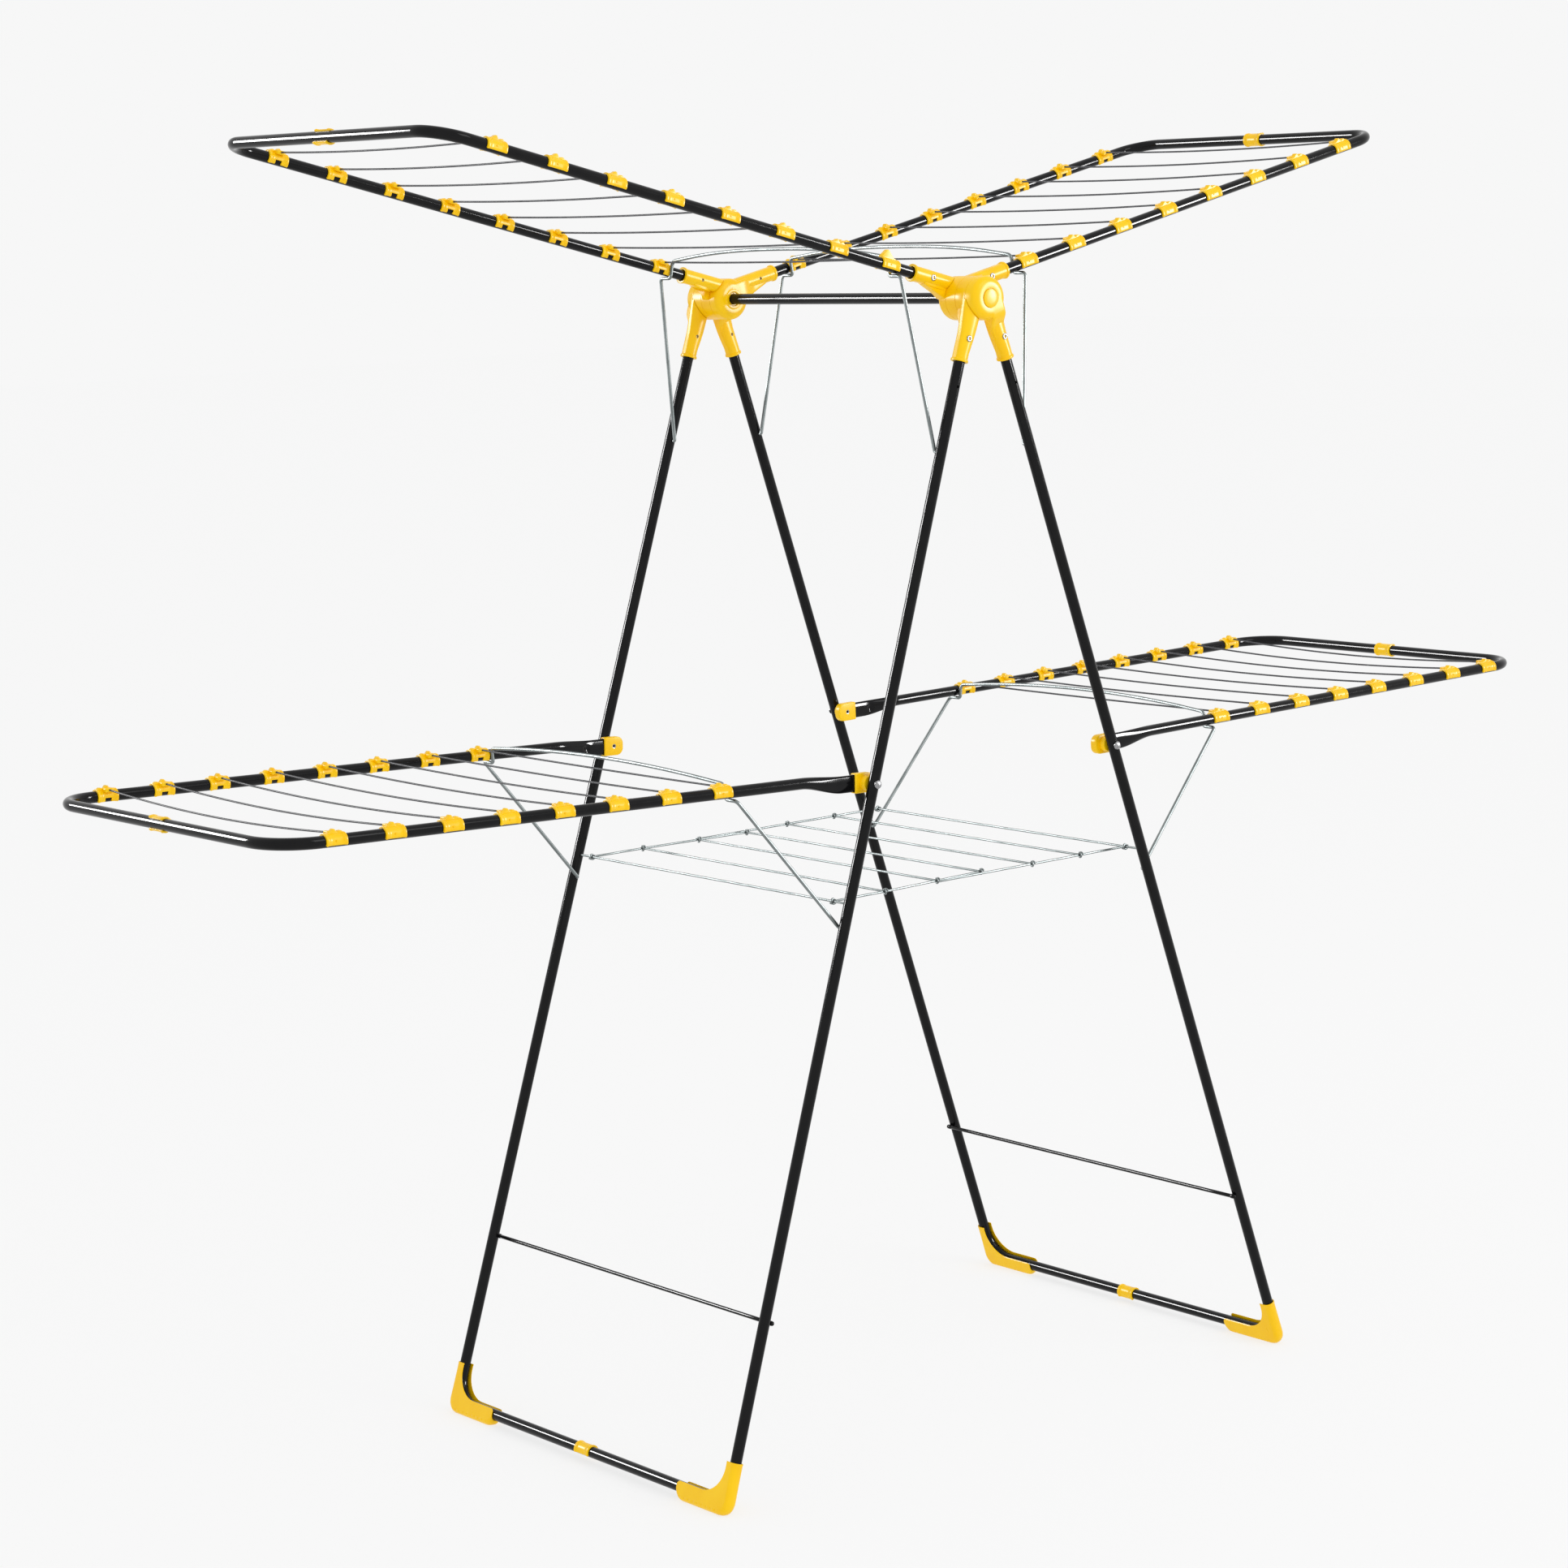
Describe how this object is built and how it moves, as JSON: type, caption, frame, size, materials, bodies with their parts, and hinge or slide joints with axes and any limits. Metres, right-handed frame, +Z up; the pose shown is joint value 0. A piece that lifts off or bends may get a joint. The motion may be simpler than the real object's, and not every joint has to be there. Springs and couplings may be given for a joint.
{
  "type": "clothes drying rack",
  "caption": "Folding free-standing clothes drying rack: crossed tube legs on one axle, two upper and two lower strung wings on wire stays, and a folding wire shelf.",
  "frame": {"origin": "on the floor, midway between the four feet under the axle", "axes": "+X to the right along the wings, +Y along the axle to the far side, +Z up"},
  "size_m": [2.0662, 0.5816, 1.6434],
  "materials": {
    "black_tube": "gloss black powder coat",
    "yellow_plastic": "glossy moulded plastic",
    "bright_wire": "bright plated wire",
    "line_and_clips": "smooth plastic-coated line with glossy yellow clips",
    "rivet_steel": "bright rivets"
  },
  "bodies": {
    "right_leg_body": {"right_leg_frame": "black_tube", "right_cross_rod": "black_tube", "right_leg_bar_clip": "yellow_plastic", "right_near_foot_shoe": "yellow_plastic", "right_far_foot_shoe": "yellow_plastic", "axle_tube": "black_tube", "near_hub_end_cap": "yellow_plastic", "far_hub_end_cap": "yellow_plastic", "right_leg_near_hub_socket": "yellow_plastic", "right_leg_far_hub_socket": "yellow_plastic", "right_leg_near_hub_rivet": "rivet_steel", "right_leg_far_hub_rivet": "rivet_steel", "right_near_pivot_rivet": "rivet_steel", "right_far_pivot_rivet": "rivet_steel"},
    "left_leg_body": {"left_leg_frame": "black_tube", "left_cross_rod": "black_tube", "left_leg_bar_clip": "yellow_plastic", "left_near_foot_shoe": "yellow_plastic", "left_far_foot_shoe": "yellow_plastic", "left_leg_near_hub_socket": "yellow_plastic", "left_leg_far_hub_socket": "yellow_plastic", "left_leg_near_hub_rivet": "rivet_steel", "left_leg_far_hub_rivet": "rivet_steel", "left_near_pivot_rivet": "rivet_steel", "left_far_pivot_rivet": "rivet_steel"},
    "left_upper_wing": {"left_upper_wing_frame": "black_tube", "left_upper_wing_bar_clip": "yellow_plastic", "left_upper_wing_lines": "line_and_clips", "left_wing_near_hub_socket": "yellow_plastic", "left_wing_far_hub_socket": "yellow_plastic", "left_wing_near_hub_rivet": "rivet_steel", "left_wing_far_hub_rivet": "rivet_steel"},
    "left_lower_wing": {"left_lower_wing_frame": "black_tube", "left_lower_wing_bar_clip": "yellow_plastic", "left_lower_wing_lines": "line_and_clips", "left_near_pivot_cap": "yellow_plastic", "left_far_pivot_cap": "yellow_plastic"},
    "left_upper_stay_body": {"left_upper_stay": "bright_wire"},
    "left_lower_stay_body": {"left_lower_stay": "bright_wire"},
    "left_shelf_body": {"left_shelf_half": "bright_wire"},
    "right_upper_wing": {"right_upper_wing_frame": "black_tube", "right_upper_wing_bar_clip": "yellow_plastic", "right_upper_wing_lines": "line_and_clips", "right_wing_near_hub_socket": "yellow_plastic", "right_wing_far_hub_socket": "yellow_plastic", "right_wing_near_hub_rivet": "rivet_steel", "right_wing_far_hub_rivet": "rivet_steel"},
    "right_lower_wing": {"right_lower_wing_frame": "black_tube", "right_lower_wing_bar_clip": "yellow_plastic", "right_lower_wing_lines": "line_and_clips", "right_near_pivot_cap": "yellow_plastic", "right_far_pivot_cap": "yellow_plastic"},
    "right_upper_stay_body": {"right_upper_stay": "bright_wire"},
    "right_lower_stay_body": {"right_lower_stay": "bright_wire"},
    "right_shelf_body": {"right_shelf_half": "bright_wire"}
  },
  "joints": [
    {"name": "leg_fold", "type": "hinge", "parent": "right_leg_body", "child": "left_leg_body", "pos_m": [0, 0, 1.419], "axis": [0, -1, 0], "range_deg": [0, 35]},
    {"name": "left_wing_fold", "type": "hinge", "parent": "left_leg_body", "child": "left_lower_wing", "pos_m": [-0.20138, 0, 0.84648], "axis": [0, -1, 0], "range_deg": [0, 70]},
    {"name": "left_upper_wing_fold", "type": "hinge", "parent": "left_leg_body", "child": "left_upper_wing", "pos_m": [0, 0, 1.419], "axis": [0, -1, 0], "range_deg": [0, 81.1]},
    {"name": "left_upper_stay_fold", "type": "hinge", "parent": "left_upper_wing", "child": "left_upper_stay_body", "pos_m": [-0.10247, 0, 1.44994], "axis": [0, 1, 0], "range_deg": [0, 113]},
    {"name": "left_lower_stay_fold", "type": "hinge", "parent": "left_lower_wing", "child": "left_lower_stay_body", "pos_m": [-0.40151, 0, 0.84933], "axis": [0, 1, 0], "range_deg": [0, 132.4]},
    {"name": "left_shelf_fold", "type": "hinge", "parent": "left_leg_body", "child": "left_shelf_body", "pos_m": [-0.24742, 0, 0.70603], "axis": [0, -1, 0], "range_deg": [0, 67.9]},
    {"name": "right_wing_fold", "type": "hinge", "parent": "right_leg_body", "child": "right_lower_wing", "pos_m": [0.20138, 0, 0.84648], "axis": [0, 1, 0], "range_deg": [0, 70]},
    {"name": "right_upper_wing_fold", "type": "hinge", "parent": "right_leg_body", "child": "right_upper_wing", "pos_m": [0, 0, 1.419], "axis": [0, 1, 0], "range_deg": [0, 81.1]},
    {"name": "right_upper_stay_fold", "type": "hinge", "parent": "right_upper_wing", "child": "right_upper_stay_body", "pos_m": [0.10303, 0, 1.4461], "axis": [0, -1, 0], "range_deg": [0, 111.2]},
    {"name": "right_lower_stay_fold", "type": "hinge", "parent": "right_lower_wing", "child": "right_lower_stay_body", "pos_m": [0.40151, 0, 0.8445], "axis": [0, -1, 0], "range_deg": [0, 132.6]},
    {"name": "right_shelf_fold", "type": "hinge", "parent": "right_leg_body", "child": "right_shelf_body", "pos_m": [0.24742, 0, 0.70603], "axis": [0, 1, 0], "range_deg": [0, 67.9]}
  ],
  "couplings": [
    {"joint": "left_upper_wing_fold", "follows": "left_wing_fold", "ratio": 1.1514},
    {"joint": "left_upper_stay_fold", "follows": "left_wing_fold", "ratio": 1.6076},
    {"joint": "left_lower_stay_fold", "follows": "left_wing_fold", "ratio": 1.8848},
    {"joint": "left_shelf_fold", "follows": "leg_fold", "ratio": 1.9257},
    {"joint": "right_upper_wing_fold", "follows": "right_wing_fold", "ratio": 1.1514},
    {"joint": "right_upper_stay_fold", "follows": "right_wing_fold", "ratio": 1.5811},
    {"joint": "right_lower_stay_fold", "follows": "right_wing_fold", "ratio": 1.8865},
    {"joint": "right_shelf_fold", "follows": "leg_fold", "ratio": 1.9257}
  ]
}
